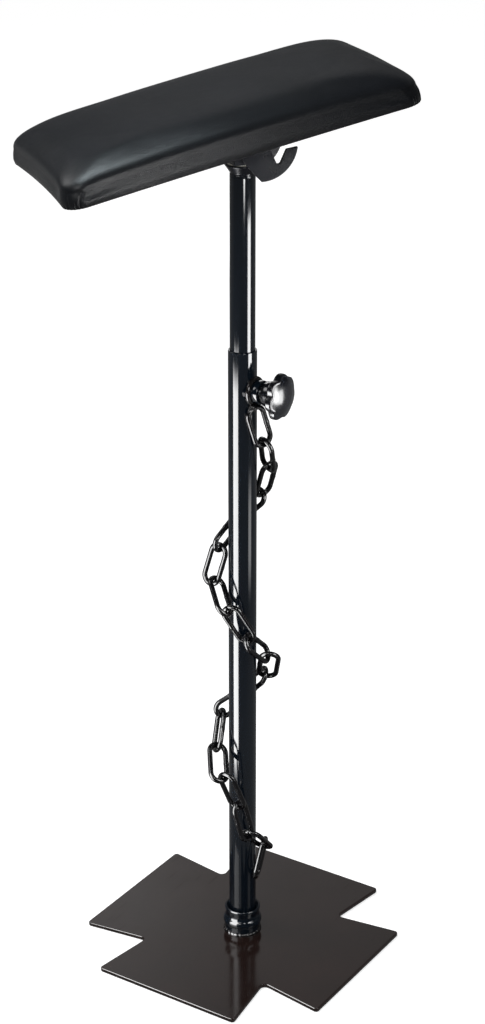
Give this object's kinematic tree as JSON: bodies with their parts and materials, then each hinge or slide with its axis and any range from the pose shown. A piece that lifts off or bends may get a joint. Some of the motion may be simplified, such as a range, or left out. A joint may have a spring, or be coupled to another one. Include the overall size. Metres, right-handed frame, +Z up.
{
  "type": "tattoo arm rest stand",
  "caption": "Freestanding padded arm rest on a height-adjustable steel post with a cross base, star knob clamp, tilting head and hanging chain.",
  "frame": {"origin": "centre of the base plate's underside, on the post's axis", "axes": "+Z up along the post; +X along one arm of the cross base and out through the clamp knob; +Y along the next arm"},
  "size_m": [0.4007, 0.4313, 1.0629],
  "materials": {
    "plate_enamel": "gloss black-brown enamel",
    "post_enamel": "gloss black enamel",
    "head_enamel": "semi-gloss black enamel",
    "chain_enamel": "gloss black enamel",
    "weld_bead": "painted weld",
    "zinc_steel": "zinc plated",
    "brass": "turned",
    "knob_plastic": "gloss",
    "plug_plastic": "matt",
    "washer_plastic": "satin",
    "dust_cloth": "non-woven",
    "plywood": "raw",
    "foam": "open cell foam",
    "pad_leather": "semi-gloss grained leatherette"
  },
  "bodies": {
    "stand": {"base_plate": "plate_enamel", "foot_socket": "post_enamel", "foot_weld": "weld_bead", "outer_tube": "post_enamel", "knob_boss": "post_enamel", "boss_weld": "weld_bead", "chain_weld": "weld_bead", "chain_link_01": "chain_enamel", "chain_link_02": "chain_enamel", "chain_link_03": "chain_enamel", "chain_link_04": "chain_enamel", "chain_link_05": "chain_enamel", "chain_link_06": "chain_enamel", "chain_link_07": "chain_enamel", "chain_link_08": "chain_enamel", "chain_link_09": "chain_enamel", "chain_link_10": "chain_enamel", "chain_link_11": "chain_enamel", "chain_link_12": "chain_enamel", "chain_link_13": "chain_enamel", "chain_link_14": "chain_enamel", "chain_link_15": "chain_enamel", "chain_link_16": "chain_enamel", "chain_link_17": "chain_enamel"},
    "chain_end": {"chain_link_18": "chain_enamel"},
    "clamp_shoe": {"clamp_tip": "brass"},
    "knob": {"clamp_screw": "zinc_steel", "star_knob": "knob_plastic"},
    "mast": {"inner_tube": "post_enamel", "inner_end_plug": "plug_plastic", "top_plug": "zinc_steel", "head_collar": "head_enamel", "thrust_washer": "washer_plastic"},
    "head": {"yoke": "head_enamel", "swivel_bolt": "zinc_steel"},
    "pad": {"tilt_bracket": "head_enamel", "bracket_weld": "weld_bead", "tilt_bolt": "head_enamel", "tilt_washers": "washer_plastic", "tilt_nut": "zinc_steel", "mount_plate": "head_enamel", "pad_screws": "zinc_steel", "dust_cover": "dust_cloth", "pad_board": "plywood", "pad_foam": "foam", "pad_cover": "pad_leather"}
  },
  "joints": [
    {"name": "height_slide", "type": "slide", "parent": "stand", "child": "mast", "axis": [0, 0, 1], "range_m": [-0.185, 0.24]},
    {"name": "head_swivel", "type": "hinge", "parent": "mast", "child": "head", "pos_m": [0, 0, 0.938], "axis": [0, 0, 1], "continuous": true},
    {"name": "pad_tilt", "type": "hinge", "parent": "head", "child": "pad", "pos_m": [0.00843, 0.01118, 0.9745], "axis": [0.7986, -0.6018, 0], "range_deg": [-42, 30]},
    {"name": "clamp_advance", "type": "slide", "parent": "stand", "child": "clamp_shoe", "axis": [1, 0, 0], "range_m": [0, 0.003]},
    {"name": "knob_turn", "type": "hinge", "parent": "clamp_shoe", "child": "knob", "pos_m": [0, 0, 0.7], "axis": [1, 0, 0], "range_deg": [0, 720]},
    {"name": "chain_end_swing", "type": "hinge", "parent": "stand", "child": "chain_end", "pos_m": [0.0261, 0.00445, 0.12573], "axis": [-0.9393, -0.3014, 0.1636], "range_deg": [-20, 20]}
  ],
  "couplings": [
    {"joint": "clamp_advance", "follows": "knob_turn", "m_per_rad": 0.00023873}
  ]
}
